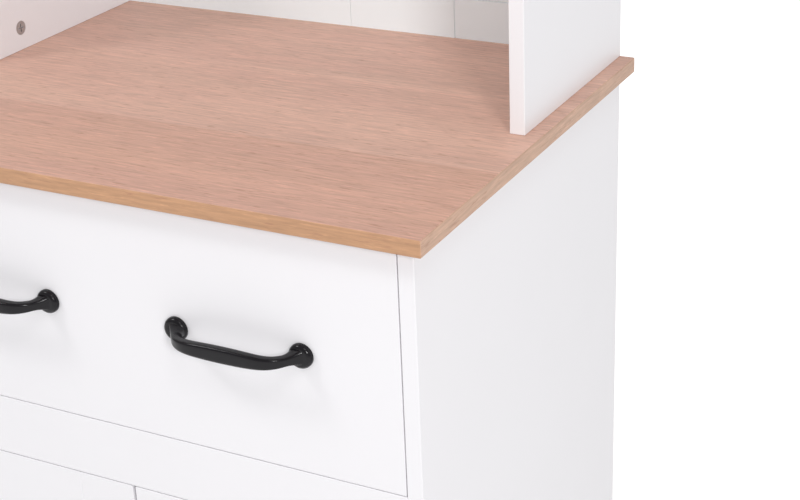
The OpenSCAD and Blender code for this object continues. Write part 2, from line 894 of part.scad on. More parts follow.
module handle_bar() {
    points = [for (i = [0:arch_steps]) each arch_ring(i)];
    last = arch_steps * ring_steps;
    sides = [
        for (i = [0:arch_steps - 1], j = [0:ring_steps - 1])
            let (a = i * ring_steps + j, b = i * ring_steps + (j + 1) % ring_steps)
            each [[a, b, a + ring_steps], [b, b + ring_steps, a + ring_steps]]
    ];
    ends = [
        [for (j = [0:ring_steps - 1]) ring_steps - 1 - j],
        [for (j = [0:ring_steps - 1]) last + j]
    ];
    polyhedron(points, concat(sides, ends));
}

// A foot is a round button with a rounded rim, its axis along -Y
module handle_foot() {
    r = foot_d / 2;
    rim = foot_t * 0.7;
    rotate([90, 0, 0]) rotate_extrude() {
        square([r - rim, foot_t]);
        square([r, foot_t - rim]);
        translate([r - rim, foot_t - rim]) intersection() {
            circle(r = rim);
            square(rim);
        }
    }
}

screw_bite = 7;

module handle() {
    color(black) difference() {
        union() {
            handle_bar();
            at_handle_screws() handle_foot();
        }
        at_handle_screws()
            translate([0, over, 0]) rotate([90, 0, 0])
                cylinder(d = handle_screw_d + 2 * play, h = screw_bite + play + over);
    }
}

// A handle screw goes through the front from behind, with its pan head inside
module handle_screw() {
    head_h = 2.4;
    translate([0, front_t + head_h, 0]) rotate([90, 0, 0]) {
        cylinder(d = handle_screw_d * 2, h = head_h);
        cylinder(d = handle_screw_d, h = head_h + front_t + screw_bite);
    }
}

module drawer_handle_screws() {
    color(steel) for (side = [LEFT, RIGHT]) at_drawer_handle(side)
        at_handle_screws() handle_screw();
}

// ---- Doors, drawn for the right side ----
stile_in_x = middle_gap / 2 + stile_w;
stile_out_x = front_x - stile_w;
tongue_t = panel_t;
tongue_y = front_y + panel_recess;

module at_door_handle() {
    translate([middle_gap / 2 + stile_w / 2, front_y, door_top_z - door_handle_drop])
        rotate([0, 90, 0]) children();
}

// The catch holds a steel strike near the top of each door's free edge
strike_x = middle_gap / 2 + catch_w / 2 + 4;
strike_z = rail_z - catch_h / 2;
strike_w = catch_w - 4;
strike_h = catch_h - 2;

module at_strike_screw() {
    translate([strike_x, behind_y + strike_t, strike_z]) rotate([0, 0, -90]) children();
}

// Hinge: one leaf on the cabinet side's inner face, one on the door's edge, and a barrel
// whose middle line stands just in front of the gap between them
barrel_x = inner_x - side_gap / 2;
barrel_y = front_y - barrel_d / 2 - 0.3;
knuckle_h = hinge_len / 3;
knuckle_play = 0.2;

module at_door_hinge_screws() {
    for (z = hinge_zs, dz = [-hinge_screw_dz, hinge_screw_dz])
        translate([front_x + leaf_t, hinge_screw_y, z + dz]) rotate([0, 0, 180]) children();
}

module panel_cut() {
    board([middle_gap / 2 + stile_w - panel_groove, tongue_y - play, door_z - over],
          [front_x - stile_w + panel_groove, tongue_y + tongue_t + play, door_top_z + over]);
}

module door_stiles(side) {
    color(white) on_side(side) difference() {
        union() {
            board([middle_gap / 2, front_y, door_z], [stile_in_x, behind_y, door_top_z]);
            board([stile_out_x, front_y, door_z], [front_x, behind_y, door_top_z]);
        }
        panel_cut();
        at_door_handle() at_handle_screws() handle_screw_cut();
        at_door_hinge_screws() wood_screw_cut(leaf_t, screw_len);
        at_strike_screw() wood_screw_cut(strike_t, screw_len);
    }
}

module door_rail(z0, z1, groove_z) {
    tongue = panel_groove - play;
    difference() {
        union() {
            board([stile_in_x, front_y, z0], [stile_out_x, behind_y, z1]);
            board([stile_in_x - tongue, tongue_y, z0], [stile_out_x + tongue, tongue_y + tongue_t, z1]);
        }
        board([stile_in_x - panel_groove - over, tongue_y - play, groove_z],
              [stile_out_x + panel_groove + over, tongue_y + tongue_t + play,
               groove_z + panel_groove + over]);
    }
}

module door_rails(side) {
    color(white) on_side(side) {
        door_rail(door_z, door_z + stile_w, door_z + stile_w - panel_groove);
        door_rail(door_top_z - stile_w, door_top_z, door_top_z - stile_w - over);
    }
}

module door_panel(side) {
    reach = panel_groove - 2 * play;
    color(white) on_side(side)
        board([stile_in_x - reach, tongue_y, door_z + stile_w - reach],
              [stile_out_x + reach, tongue_y + panel_t, door_top_z - stile_w + reach]);
}

module door_handle(side) {
    on_side(side) at_door_handle() handle();
}

module door_screws(side) {
    color(steel) on_side(side) {
        at_door_handle() at_handle_screws() handle_screw();
        at_door_hinge_screws() wood_screw(leaf_t, screw_len);
        at_strike_screw() wood_screw(strike_t, screw_len);
    }
}

module knuckle(z0, h) {
    translate([barrel_x, barrel_y, z0]) difference() {
        cylinder(d = barrel_d, h = h);
        translate([0, 0, -over]) cylinder(d = hinge_pin_d + 0.1, h = h + 2 * over);
    }
}

// A leaf is a plate with a tongue that runs forward into the barrel
module leaf_plate(x0, z, h) {
    board([x0, front_y + 0.3, z - hinge_len / 2], [x0 + leaf_t, front_y + leaf_w, z + hinge_len / 2]);
    for (part = h) board([x0, barrel_y + barrel_d * 0.32, part[0]], [x0 + leaf_t, front_y + 1, part[1]]);
}

// The cabinet's leaf has the two end knuckles and the door's leaf the middle one
function end_knuckles(z) = [
    [z - hinge_len / 2, z - hinge_len / 2 + knuckle_h],
    [z + hinge_len / 2 - knuckle_h, z + hinge_len / 2]
];
function middle_knuckle(z) = [[
    z - hinge_len / 2 + knuckle_h + knuckle_play, z + hinge_len / 2 - knuckle_h - knuckle_play
]];

module hinge_cabinet_leaves() {
    color(black) for (side = [LEFT, RIGHT]) on_side(side) for (z = hinge_zs) difference() {
        union() {
            leaf_plate(inner_x - leaf_t, z, end_knuckles(z));
            for (part = end_knuckles(z)) knuckle(part[0], part[1] - part[0]);
        }
        translate([barrel_x, barrel_y, z - hinge_len])
            cylinder(d = hinge_pin_d + 0.1, h = 2 * hinge_len);
        at_hinge_screws() wood_screw_cut(leaf_t, screw_len);
    }
}

module door_hinge_leaves(side) {
    color(black) on_side(side) for (z = hinge_zs) difference() {
        union() {
            leaf_plate(front_x, z, middle_knuckle(z));
            for (part = middle_knuckle(z)) knuckle(part[0], part[1] - part[0]);
        }
        translate([barrel_x, barrel_y, z - hinge_len])
            cylinder(d = hinge_pin_d + 0.1, h = 2 * hinge_len);
        at_door_hinge_screws() wood_screw_cut(leaf_t, screw_len);
    }
}

module hinge_pins() {
    cap_h = 1.2;
    color(black) for (side = [LEFT, RIGHT]) on_side(side) for (z = hinge_zs)
        translate([barrel_x, barrel_y, z - hinge_len / 2 - cap_h]) {
            cylinder(d = hinge_pin_d, h = hinge_len + 2 * cap_h);
            for (dz = [0, hinge_len + cap_h]) translate([0, 0, dz]) cylinder(d = barrel_d - 1, h = cap_h);
        }
}

module magnetic_catches() {
    y = behind_y + strike_t + 0.3;
    color(grey) for (side = [LEFT, RIGHT]) on_side(side)
        board([strike_x - catch_w / 2, y, rail_z - catch_h],
              [strike_x + catch_w / 2, y + catch_d, rail_z]);
}

module door_strike(side) {
    color(steel) on_side(side) difference() {
        board([strike_x - strike_w / 2, behind_y, strike_z - strike_h / 2],
              [strike_x + strike_w / 2, behind_y + strike_t, strike_z + strike_h / 2]);
        at_strike_screw() wood_screw_cut(strike_t, screw_len);
    }
}

worktop();
base_side(LEFT);  // base_side_left
base_side(RIGHT);  // base_side_right
base_bottom();
kick_board();
base_back_panel();
front_stretcher();
rear_stretcher();
front_rail();
middle_rail();
base_shelf();
shelf_pins();
glides();
cabinet_screws();
cam_discs();
cam_bolts();
slide_cabinet(LEFT);  // slide_cabinet_left
slide_cabinet(RIGHT);  // slide_cabinet_right
hinge_cabinet_leaves();
hinge_pins();
magnetic_catches();
hutch_side(LEFT);  // hutch_side_left
hutch_side(RIGHT);  // hutch_side_right
hutch_top();
hutch_shelf();
hutch_back_left();
hutch_back_right();
hutch_back_tape();
back_nails();
wall_bracket();
drawer_front();
drawer_side(LEFT);  // drawer_side_left
drawer_side(RIGHT);  // drawer_side_right
drawer_back();
drawer_bottom();
drawer_cam_discs();
drawer_cam_bolts();
drawer_back_screws();
at_drawer_handle(LEFT) handle();  // drawer_handle_left
at_drawer_handle(RIGHT) handle();  // drawer_handle_right
drawer_handle_screws();
slide_drawer(LEFT);  // slide_drawer_left
slide_drawer(RIGHT);  // slide_drawer_right
slide_drawer_screws();
slide_cage(LEFT);  // slide_cage_left
slide_cage(RIGHT);  // slide_cage_right
door_stiles(LEFT);  // door_left_stiles
door_rails(LEFT);  // door_left_rails
door_panel(LEFT);  // door_left_panel
door_handle(LEFT);  // door_left_handle
door_screws(LEFT);  // door_left_screws
door_hinge_leaves(LEFT);  // door_left_hinge_leaves
door_strike(LEFT);  // door_left_strike
door_stiles(RIGHT);  // door_right_stiles
door_rails(RIGHT);  // door_right_rails
door_panel(RIGHT);  // door_right_panel
door_handle(RIGHT);  // door_right_handle
door_screws(RIGHT);  // door_right_screws
door_hinge_leaves(RIGHT);  // door_right_hinge_leaves
door_strike(RIGHT);  // door_right_strike
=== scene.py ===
import math

import bmesh
import bpy
from mathutils import Matrix, Vector


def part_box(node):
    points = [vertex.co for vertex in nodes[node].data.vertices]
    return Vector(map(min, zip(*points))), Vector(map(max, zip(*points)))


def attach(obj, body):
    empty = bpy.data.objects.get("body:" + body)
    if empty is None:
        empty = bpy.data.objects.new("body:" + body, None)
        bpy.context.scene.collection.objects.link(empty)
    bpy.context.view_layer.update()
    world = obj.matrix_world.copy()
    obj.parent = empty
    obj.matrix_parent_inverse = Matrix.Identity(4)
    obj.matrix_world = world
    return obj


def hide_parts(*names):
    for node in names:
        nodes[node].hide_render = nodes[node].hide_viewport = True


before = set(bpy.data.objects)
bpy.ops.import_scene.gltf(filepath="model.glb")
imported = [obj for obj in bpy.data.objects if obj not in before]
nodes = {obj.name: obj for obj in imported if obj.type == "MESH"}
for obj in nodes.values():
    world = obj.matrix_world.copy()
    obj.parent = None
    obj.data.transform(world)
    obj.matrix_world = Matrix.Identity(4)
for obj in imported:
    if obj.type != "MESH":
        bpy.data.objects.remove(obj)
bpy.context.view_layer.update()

# ---- View ----
# A standing person's look down on the stand's right front corner, close to the worktop.
# The camera is aimed at a point just inside the worktop's front edge.
VIEW_TURN = math.radians(28.2565)
VIEW_DROP = math.radians(24.6592)
VIEW_TILT = math.radians(-2.4828)
VIEW_AIM = Vector((0.306716, -0.235, 0.829184))
VIEW_REACH = 1.30368

ahead = Vector(
    (
        -math.sin(VIEW_TURN) * math.cos(VIEW_DROP),
        math.cos(VIEW_TURN) * math.cos(VIEW_DROP),
        -math.sin(VIEW_DROP),
    )
)
level = Vector((math.cos(VIEW_TURN), math.sin(VIEW_TURN), 0))
upright = level.cross(ahead)
across = level * math.cos(VIEW_TILT) + upright * math.sin(VIEW_TILT)
upward = upright * math.cos(VIEW_TILT) - level * math.sin(VIEW_TILT)
view_axes = Matrix((across, upward, -ahead)).transposed().to_4x4()

lens = bpy.data.cameras.new("view")
lens.lens = 74.67
lens.sensor_width = 36
lens.clip_start = 0.05
lens.clip_end = 60
camera = bpy.data.objects.new("view", lens)
camera.matrix_world = Matrix.Translation(VIEW_AIM - ahead * VIEW_REACH) @ view_axes
bpy.context.scene.collection.objects.link(camera)
bpy.context.scene.camera = camera

# ---- Base boards ----
# The cabinet's boards are particle board with a smooth white melamine face. Their
# edges have a thin white band, glued on and eased with a scraper. Bolts that go into
# cam discs pull the boards together.
WHITE = (0.872, 0.858, 0.882)
BOARD_EASE = 0.0009
EASE_FACETS = 3
SAME_POINT = 0.00001
AT_BOX_SIDE = 0.00002
FLAT_ANGLE = math.radians(1)
SHARP_ANGLE = math.radians(40)
CORNER_ANGLE = math.radians(60)


def feed(tree, socket, value):
    """Links an input to another step's output, or sets it to a plain value."""
    if isinstance(value, bpy.types.NodeSocket):
        tree.links.new(value, socket)
    else:
        socket.default_value = value


def step(tree, kind, *values, out=0, how=None, **named):
    """One shader step: its plain settings, its inputs by number or name, one output."""
    node = tree.nodes.new("ShaderNode" + kind)
    for key, value in (how or {}).items():
        setattr(node, key, value)
    for place, value in list(enumerate(values)) + list(named.items()):
        feed(tree, node.inputs[place], value)
    return node.outputs[out]


def sum_of(tree, kind, *values):
    """Plain arithmetic on one or more values, such as ADD or MULTIPLY."""
    return step(tree, "Math", *values, how={"operation": kind})


def place_on(tree):
    """The place on the piece, in metres of the shared frame."""
    return step(tree, "TexCoord", out="Object")


def noise(tree, place, scale, detail, **named):
    """A cloudy pattern of values between 0 and 1, finer with a larger scale."""
    return step(tree, "TexNoise", place, Scale=scale, Detail=detail, **named)


def between(tree, share, first, second, low=0.0, high=1.0):
    """From the first colour to the second while the share goes from low to high."""
    tone = step(tree, "ValToRGB", share)
    stops = tone.node.color_ramp.elements
    for stop, position, colour in zip(stops, (low, high), (first, second)):
        stop.position = position
        stop.color = (*colour, 1)
    return tone


def tinted(colour, factor):
    """A colour made darker or brighter by a factor."""
    return tuple(min(1.0, part * factor) for part in colour)


def finish(name, **sockets):
    """A new material, its node tree and its shader, with uniform values on the shader."""
    material = bpy.data.materials.new(name)
    material.use_nodes = True
    tree = material.node_tree
    shader = tree.nodes["Principled BSDF"]
    for key, value in sockets.items():
        shader.inputs[key.replace("_", " ")].default_value = value
    return material, tree, shader


def paint(tree, shader, tone):
    """Gives a finish its colour."""
    tree.links.new(tone, shader.inputs["Base Color"])


def roughen(tree, shader, height, strength, depth=0.0002):
    """Small relief from a height between 0 and 1."""
    bump = step(tree, "Bump", Height=height, Strength=strength, Distance=depth)
    tree.links.new(bump, shader.inputs["Normal"])


def melamine(name, colour):
    """A smooth foil with a faint pearled grain and hardly any change in tone."""
    material, tree, shader = finish(name, Roughness=0.42)
    cloud = noise(tree, place_on(tree), scale=5.0, detail=3.0)
    paint(tree, shader, between(tree, cloud, tinted(colour, 0.985), tinted(colour, 1.015)))
    pearl = noise(tree, place_on(tree), scale=1500.0, detail=2.0)
    roughen(tree, shader, pearl, strength=0.05)
    return material


def joined_shape(node):
    """A node's own shape as a mesh whose triangles share their points."""
    mesh = bmesh.new()
    mesh.from_mesh(nodes[node].data)
    bmesh.ops.remove_doubles(mesh, verts=mesh.verts, dist=SAME_POINT)
    return mesh


def solids_in(mesh):
    """The separate solids of a mesh, each as a list of its points."""
    mesh.verts.ensure_lookup_table()
    mesh.verts.index_update()
    seen = [False] * len(mesh.verts)
    solids = []
    for start in mesh.verts:
        if seen[start.index]:
            continue
        seen[start.index] = True
        solid = [start]
        for vert in solid:
            for edge in vert.link_edges:
                other = edge.other_vert(vert)
                if not seen[other.index]:
                    seen[other.index] = True
                    solid.append(other)
        solids.append(solid)
    return solids


def corner_box(points):
    """The lowest and the highest corner of some points."""
    low = Vector([min(point[i] for point in points) for i in range(3)])
    high = Vector([max(point[i] for point in points) for i in range(3)])
    return low, high


def outer_corners(mesh):
    """The edges of the mesh that lie along the corners of a solid's own box."""
    corners = []
    for solid in solids_in(mesh):
        low, high = corner_box([vert.co for vert in solid])
        at_side = {}
        for vert in solid:
            gaps = [min(vert.co[i] - low[i], high[i] - vert.co[i]) for i in range(3)]
            at_side[vert] = [gap < AT_BOX_SIDE for gap in gaps]
        for vert in solid:
            for edge in vert.link_edges:
                other = edge.other_vert(vert)
                if vert.index < other.index:
                    both = [a and b for a, b in zip(at_side[vert], at_side[other])]
                    if sum(both) >= 2 and edge.calc_face_angle(0) > CORNER_ANGLE:
                        corners.append(edge)
    return corners


def new_piece(name, mesh, material, body, node):
    """Turns a bmesh into a piece that rides on its body and stands for its node."""
    bmesh.ops.recalc_face_normals(mesh, faces=mesh.faces)
    data = bpy.data.meshes.new(name)
    mesh.to_mesh(data)
    mesh.free()
    data.materials.append(material)
    data.shade_smooth()
    data.set_sharp_from_angle(angle=SHARP_ANGLE)
    piece = bpy.data.objects.new(name, data)
    bpy.context.scene.collection.objects.link(piece)
    weights = piece.modifiers.new("flat faces stay flat", "WEIGHTED_NORMAL")
    weights.keep_sharp = True
    weights.weight = 100
    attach(piece, body)
    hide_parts(node)


def eased_board(node, body, material, ease=BOARD_EASE):
    """A board in the place of its node, with its outer corners rounded a little."""
    mesh = joined_shape(node)
    bmesh.ops.dissolve_limit(
        mesh, angle_limit=FLAT_ANGLE, verts=mesh.verts, edges=mesh.edges
    )
    bmesh.ops.bevel(
        mesh,
        geom=outer_corners(mesh),
        offset=ease,
        offset_type="OFFSET",
        segments=EASE_FACETS,
        profile=0.5,
        affect="EDGES",
        clamp_overlap=False,
    )
    new_piece(node + "_eased", mesh, material, body, node)


white_board = melamine("white melamine", WHITE)
for board in (
    "base_side_left",
    "base_side_right",
    "base_bottom",
    "kick_board",
    "front_stretcher",
    "rear_stretcher",
    "front_rail",
    "middle_rail",
    "base_shelf",
):
    eased_board(board, "cabinet", white_board)

# ---- Back panels ----
# Thin hardboard, white in front, brown and finely pitted behind. The panels lie in
# rebates and are nailed on from behind. Paper tape hinges the hutch's two halves.
FIBRE = (0.33, 0.21, 0.125)
# Painted light: the back panels' white is brighter and bluer than the boards' white. It
# stands in for light that the hutch's shade and the oak's warm bounce take from the panels.
PRINT_WHITE_WITH_PAINTED_LIGHT = (0.908, 0.968, 0.992)
BARE_LIMIT = 0.5
PRINT_RELIEF = 0.03
FIBRE_RELIEF = 0.4
FIBRE_DEPTH = 0.0004
# Nearly all of a noise pattern's values lie between these two
NOISE_SPAN = (0.3, 0.7)


def facing(tree, way):
    """How far the surface faces along X, Y or Z, from -1 to 1."""
    return step(tree, "SeparateXYZ", step(tree, "TexCoord", out="Normal"), out=way)


# Where the Mix step takes its two values and gives its result
MIX_PLACES = {"RGBA": (6, 7, 2), "VECTOR": (4, 5, 1)}


def either(tree, share, first, second, kind="RGBA"):
    """The first colour or vector where the share is 0, the second where it is 1."""
    first_place, second_place, out = MIX_PLACES[kind]
    mix = step(tree, "Mix", share, out=out, how={"data_type": kind})
    for place, value in ((first_place, first), (second_place, second)):
        plain = isinstance(value, tuple)
        feed(tree, mix.node.inputs[place], (*value, 1) if plain else value)
    return mix


def hardboard(name, colour, darkest, way, bare_if):
    """White print, but bare pressed fibre where the facing along a way passes a test."""
    material, tree, shader = finish(name, Roughness=0.5)
    bare = sum_of(tree, bare_if, facing(tree, way), BARE_LIMIT)
    fibre = noise(tree, place_on(tree), scale=420.0, detail=6.0)
    brown = between(tree, fibre, tinted(FIBRE, 0.65), tinted(FIBRE, 1.4), *NOISE_SPAN)
    cloud = noise(tree, place_on(tree), scale=4.0, detail=2.0)
    white = between(tree, cloud, tinted(colour, darkest), colour)
    paint(tree, shader, either(tree, bare, white, brown))
    relief = sum_of(tree, "MULTIPLY_ADD", bare, FIBRE_RELIEF, PRINT_RELIEF)
    roughen(tree, shader, fibre, relief, FIBRE_DEPTH)
    return material


def speckle(tree, shader, marks, dark, light, relief):
    """Turns a finish from dark to light over fine marks, which also stand out a little."""
    paint(tree, shader, between(tree, marks, dark, light, *NOISE_SPAN))
    roughen(tree, shader, marks, relief)


def cover(names, material):
    """Gives nodes whose shape is kept their finish."""
    for name in names:
        mesh = nodes[name].data
        mesh.materials.clear()
        mesh.materials.append(material)


# Printed in front and on its edges, so bare only where it faces back. The print's white is
# brightened and made bluer with painted light.
back_board = hardboard("white hardboard", PRINT_WHITE_WITH_PAINTED_LIGHT, 0.985, "Y", "GREATER_THAN")
cover(("base_back_panel", "hutch_back_left", "hutch_back_right"), back_board)

tape, tree, shader = finish("paper tape", Roughness=0.75)
crepe_place = step(tree, "Mapping", place_on(tree), Scale=(1.0, 1.0, 0.08))
crepe = noise(tree, crepe_place, scale=900.0, detail=3.0)
speckle(tree, shader, crepe, (0.60, 0.58, 0.53), (0.78, 0.76, 0.71), relief=0.3)
cover(("hutch_back_tape",), tape)

# ---- Worktop ----
# Particle board with a matt oak-look paper face, printed as three planks whose grain
# runs along the width. Its edges have bands of oak-look paper. Screws from below and
# the bolts of the hutch hold it.
PLANK_JOINTS = (-0.085, 0.085)
PLANK_TONES = ((0.660, 0.385, 0.285), (0.680, 0.420, 0.322), (0.655, 0.405, 0.312))
PLANK_SHIFT = 3.7
JOINT_BAND = 0.016
BAND_SHARE = 0.6
BAND_TONE = (0.735, 0.470, 0.365)
PINK_SHARE = 0.35
PINK_TONE = (0.66, 0.375, 0.30)
FRONT_TONE = (0.532, 0.293, 0.163)
END_TONE = (0.579, 0.363, 0.254)
PORE_SHARE = 0.55
PORE_TONE = (0.380, 0.180, 0.110)
FRONT_FACING = -0.6
END_FACING = 0.7
SWAY = 0.010
TOP_EASE = 0.0016


def remap(tree, value, start, end, at_start, at_end):
    """From one amount to another while a value goes from its start to its end."""
    return step(tree, "MapRange", value, start, end, at_start, at_end)


def shade(tree, colour, value, start, end, at_start, at_end):
    """Multiplies a colour by an amount that follows a value, as remap has it."""
    scaled = step(tree, "VectorMath", colour, how={"operation": "SCALE"})
    factor = remap(tree, value, start, end, at_start, at_end)
    tree.links.new(factor, scaled.node.inputs["Scale"])
    return scaled


def paper_run(tree, planks, on_end):
    """The place on the paper, with X along its grain, which sways a little."""
    place = place_on(tree)
    x, y, z = [step(tree, "SeparateXYZ", place, out=way) for way in "XYZ"]
    # Each plank shows another part of the print
    shift = sum_of(tree, "MULTIPLY", sum_of(tree, "ADD", *planks), PLANK_SHIFT)
    along_width = step(tree, "CombineXYZ", x, sum_of(tree, "ADD", y, shift), z)
    # On the end bands the paper runs along the depth
    along_depth = step(tree, "CombineXYZ", y, x, z)
    run = either(tree, on_end, along_width, along_depth, "VECTOR")
    bend = noise(tree, run, scale=2.5, detail=2.0, out="Color")
    sway = step(tree, "VectorMath", bend, (0.0, SWAY, SWAY), how={"operation": "MULTIPLY"})
    return step(tree, "VectorMath", run, sway, how={"operation": "ADD"})


def grain(tree, run, along, over, detail=2.0, rough=0.6):
    """A noise drawn out along the grain, of a fineness along it and over it."""
    line = step(tree, "Mapping", run, Scale=(along, over, over))
    return noise(tree, line, scale=1.0, detail=detail, Roughness=rough)


def oak(name):
    """Printed oak: tone bands, short fine streaks, pores, and pale bands at the joints."""
    material, tree, shader = finish(name, Roughness=0.46)
    depth = step(tree, "SeparateXYZ", place_on(tree), out="Y")
    planks = [sum_of(tree, "GREATER_THAN", depth, joint) for joint in PLANK_JOINTS]
    on_front = sum_of(tree, "LESS_THAN", facing(tree, "Y"), FRONT_FACING)
    sideways = sum_of(tree, "ABSOLUTE", facing(tree, "X"))
    on_end = sum_of(tree, "GREATER_THAN", sideways, END_FACING)

    run = paper_run(tree, planks, on_end)
    bands = grain(tree, run, along=1.3, over=22.0, detail=3.0)
    streaks = grain(tree, run, along=26.0, over=380.0, detail=3.0, rough=0.65)
    dark_dashes = grain(tree, run, along=55.0, over=420.0)
    pale_dashes = grain(tree, run, along=60.0, over=460.0)
    warmth = grain(tree, run, along=3.5, over=16.0)

    tone = either(tree, planks[0], PLANK_TONES[0], PLANK_TONES[1])
    tone = either(tree, planks[1], tone, PLANK_TONES[2])
    for joint in PLANK_JOINTS:
        past = sum_of(tree, "SUBTRACT", depth, joint)
        near = remap(tree, past, 0.0, JOINT_BAND, at_start=1.0, at_end=0.0)
        inside = sum_of(tree, "MULTIPLY", near, sum_of(tree, "GREATER_THAN", past, 0.0))
        tone = either(tree, sum_of(tree, "MULTIPLY", inside, BAND_SHARE), tone, BAND_TONE)
    pink = remap(tree, warmth, 0.35, 0.65, at_start=0.0, at_end=PINK_SHARE)
    tone = either(tree, pink, tone, PINK_TONE)
    tone = either(tree, on_front, tone, FRONT_TONE)
    tone = either(tree, on_end, tone, END_TONE)
    tone = shade(tree, tone, bands, *NOISE_SPAN, at_start=0.93, at_end=1.06)
    tone = shade(tree, tone, streaks, 0.25, 0.75, at_start=0.80, at_end=1.18)
    pores = remap(tree, dark_dashes, 0.28, 0.40, at_start=PORE_SHARE, at_end=0.0)
    tone = either(tree, pores, tone, PORE_TONE)
    tone = shade(tree, tone, pale_dashes, 0.60, 0.72, at_start=1.0, at_end=1.17)
    paint(tree, shader, tone)
    roughen(tree, shader, streaks, strength=0.10)
    return material


oak_face = oak("oak print")
eased_board("worktop", "cabinet", oak_face, TOP_EASE)

# ---- Hutch boards ----
# The hutch is made of the same white board. Its sides stand on the worktop, held by
# bolts from the worktop, and its shelf and top hang between them on cams.
for board in ("hutch_side_left", "hutch_side_right", "hutch_top", "hutch_shelf"):
    eased_board(board, "cabinet", white_board)

# ---- Cams, shelf pins and glides ----
# Cam discs are cast zinc with a cross slot, cam bolts and shelf pins are bright plated
# steel, and the glides under the sides are moulded plastic.
UNEVEN_SHINE = 0.07


def bright_metal(name, colour, gloss, scale, relief):
    """Bare metal with fine marks and a slightly uneven shine."""
    material, tree, shader = finish(name, Metallic=1.0)
    marks = noise(tree, place_on(tree), scale, detail=4.0)
    speckle(tree, shader, marks, tinted(colour, 0.86), tinted(colour, 1.08), relief)
    shine = remap(tree, marks, *NOISE_SPAN, gloss - UNEVEN_SHINE, gloss + UNEVEN_SHINE)
    tree.links.new(shine, shader.inputs["Roughness"])
    return material


zinc_cast = bright_metal(
    "cast zinc", (0.58, 0.59, 0.61), gloss=0.45, scale=900.0, relief=0.4
)
plated_steel = bright_metal(
    "plated steel", (0.70, 0.71, 0.73), gloss=0.30, scale=500.0, relief=0.12
)
cover(("cam_discs", "drawer_cam_discs"), zinc_cast)
cover(("cam_bolts", "drawer_cam_bolts", "shelf_pins"), plated_steel)


def moulded_plastic(name, colour):
    """Plastic with the sandblasted face of its mould."""
    material, tree, shader = finish(name, Roughness=0.48)
    sand = noise(tree, place_on(tree), scale=1200.0, detail=3.0)
    speckle(tree, shader, sand, tinted(colour, 0.95), tinted(colour, 1.03), relief=0.2)
    return material


white_plastic = moulded_plastic("white plastic", (0.80, 0.80, 0.80))
cover(("glides",), white_plastic)

# ---- Screws and nails ----
# Plated steel screws with a cross recess and wire nails with thin round heads. Screws in
# slides, hinges, strikes and the drawer's back are countersunk, and the rest have flat
# heads. Each lies where its node has it.
TURNED_STEPS = 40
AT_END_FACE = 0.00005
THINNEST_RING = 0.0002
PROFILE_DIGITS = 5
NEVER_ZERO = 1e-9
RECESS_SHARE = 0.52
RECESS_FLOOR = 0.45
RECESS_ARM = math.tan(math.radians(18))
RECESS_DEPTH = 0.0012
HEAD_ROUND = 0.0003
HEAD_BEND = HEAD_ROUND * 0.3
NAIL_MIDDLE = 0.3


def close_tube(mesh, rings):
    """Joins rings of points into a closed skin with flat ends."""
    loops = [[mesh.verts.new(point) for point in ring] for ring in rings]
    count = len(loops[0])
    for low, high in zip(loops, loops[1:]):
        for i in range(count):
            j = (i + 1) % count
            mesh.faces.new((low[i], low[j], high[j], high[i]))
    mesh.faces.new(list(reversed(loops[0])))
    mesh.faces.new(loops[-1])


def circle(radius, height, steps=TURNED_STEPS):
    """A ring of points round the Z axis."""
    turns = [2 * math.pi * i / steps for i in range(steps)]
    return [Vector((radius * math.cos(t), radius * math.sin(t), height)) for t in turns]


def cross(reach, height):
    """The outline of a cross recess: two crossed arms."""
    points = []
    for point in circle(1.0, 0.0):
        c, s = abs(point.x) + NEVER_ZERO, abs(point.y) + NEVER_ZERO
        arm = reach * RECESS_ARM
        radius = max(min(reach / c, arm / s), min(arm / c, reach / s))
        points.append(Vector((point.x * radius, point.y * radius, height)))
    return points


def head_of(points):
    """The radius, the middle and the inward direction of a turned solid's wider end."""
    low, high = corner_box(points)
    size = high - low
    long_way = max(range(3), key=lambda i: size[i])
    axis = Vector([float(i == long_way) for i in range(3)])
    middle = (low + high) / 2
    reach = size[long_way] / 2
    ends = []
    for sign in (-1, 1):
        face = middle + axis * (sign * reach)
        near = [p for p in points if abs((p - face).dot(axis)) < AT_END_FACE]
        radius = max((p - face).cross(axis).length for p in near)
        ends.append((radius, face, axis * -sign))
    return max(ends, key=lambda end: end[0])


def head_rings(radius, recess):
    """A head's rings from its middle or the recess's floor to the rounded rim."""
    if recess:
        reach = radius * RECESS_SHARE
        rings = [cross(reach * RECESS_FLOOR, RECESS_DEPTH), cross(reach, 0.0)]
    else:
        rings = [circle(radius * NAIL_MIDDLE, 0.0)]
    rings.append(circle(radius - HEAD_ROUND, 0.0))
    rings.append(circle(radius - HEAD_BEND, HEAD_BEND))
    return rings


def turned_profile(points, origin, axis):
    """Distances along the axis and from it, as a turned piece has them."""
    profile = set()
    for point in points:
        along = (point - origin).dot(axis)
        away = (point - origin - axis * along).length
        profile.add((round(along, PROFILE_DIGITS), round(away, PROFILE_DIGITS)))
    return sorted(profile, key=lambda pair: (pair[0], -pair[1]))


def turned_like(name, node, body, recess):
    """The turned solids of a node, their heads rounded, with a cross recess if wanted."""
    source = joined_shape(node)
    mesh = bmesh.new()
    for solid in solids_in(source):
        points = [vert.co.copy() for vert in solid]
        head_radius, face, inward = head_of(points)
        rings = head_rings(head_radius, recess)
        for along, away in turned_profile(points, face, inward):
            if along > SAME_POINT and away > THINNEST_RING:
                rings.append(circle(away, max(along, HEAD_ROUND)))
        before = len(mesh.verts)
        close_tube(mesh, rings)
        mesh.verts.ensure_lookup_table()
        turn = inward.to_track_quat("Z", "Y").to_matrix().to_4x4()
        added = mesh.verts[before:]
        bmesh.ops.transform(mesh, matrix=Matrix.Translation(face) @ turn, verts=added)
    source.free()
    new_piece(name, mesh, plated_steel, body, node)


turned_like("cabinet_cross_screws", "cabinet_screws", "cabinet", recess=True)
turned_like("panel_nails", "back_nails", "cabinet", recess=False)

